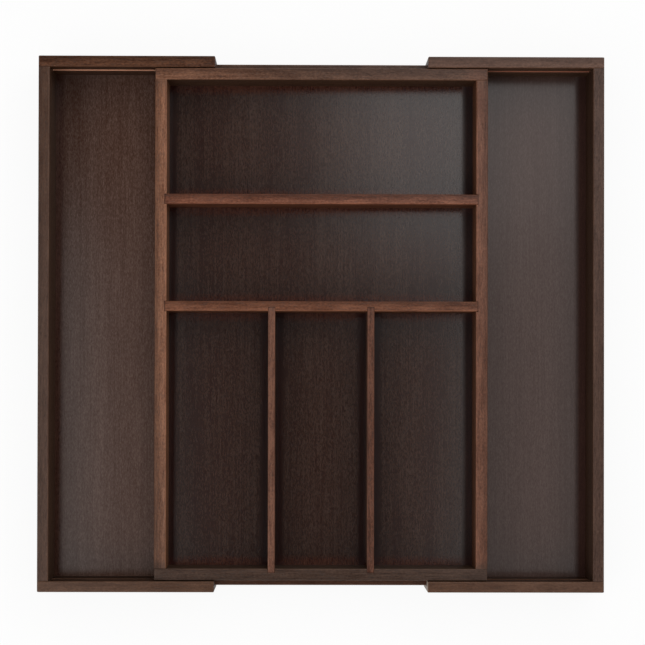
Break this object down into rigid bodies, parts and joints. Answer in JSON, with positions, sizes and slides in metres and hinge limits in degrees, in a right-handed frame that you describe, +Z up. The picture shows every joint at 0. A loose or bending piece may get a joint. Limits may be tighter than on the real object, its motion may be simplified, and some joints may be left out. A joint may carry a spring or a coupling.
{
  "type": "expandable cutlery tray",
  "caption": "Dark wooden drawer tray: a divided centre tray between sliding side trays whose grooved rails run on its runners and whose floors slide under it, so that it widens to fit a drawer.",
  "frame": {"origin": "middle of the tray, with both side trays pulled out, on the surface that it stands on", "axes": "+X to the right, the way the right side tray slides out; +Y to the back; +Z up"},
  "size_m": [0.507, 0.48, 0.065],
  "materials": {
    "centre_wood": "satin",
    "side_wood": "satin",
    "divider_wood": "satin",
    "runner_wood": "satin",
    "floor_panel": "satin",
    "steel": "plain"
  },
  "bodies": {
    "centre_tray": {"centre_back_wall": "centre_wood", "centre_front_wall": "centre_wood", "centre_left_wall": "centre_wood", "centre_right_wall": "centre_wood", "centre_floor": "floor_panel", "rear_cross_divider": "divider_wood", "middle_cross_divider": "divider_wood", "left_long_divider": "divider_wood", "right_long_divider": "divider_wood", "front_runner": "runner_wood", "back_runner": "runner_wood", "centre_corner_pins": "steel"},
    "left_tray": {"left_front_rail": "side_wood", "left_back_rail": "side_wood", "left_end_wall": "side_wood", "left_floor": "floor_panel", "left_stop_batten": "runner_wood", "left_corner_pins": "steel", "left_stop_screws": "steel"},
    "right_tray": {"right_front_rail": "side_wood", "right_back_rail": "side_wood", "right_end_wall": "side_wood", "right_floor": "floor_panel", "right_stop_batten": "runner_wood", "right_corner_pins": "steel", "right_stop_screws": "steel"}
  },
  "joints": [
    {"name": "left_slide", "type": "slide", "parent": "centre_tray", "child": "left_tray", "axis": [1, 0, 0], "range_m": [0, 0.094]},
    {"name": "right_slide", "type": "slide", "parent": "centre_tray", "child": "right_tray", "axis": [-1, 0, 0], "range_m": [0, 0.094]}
  ]
}
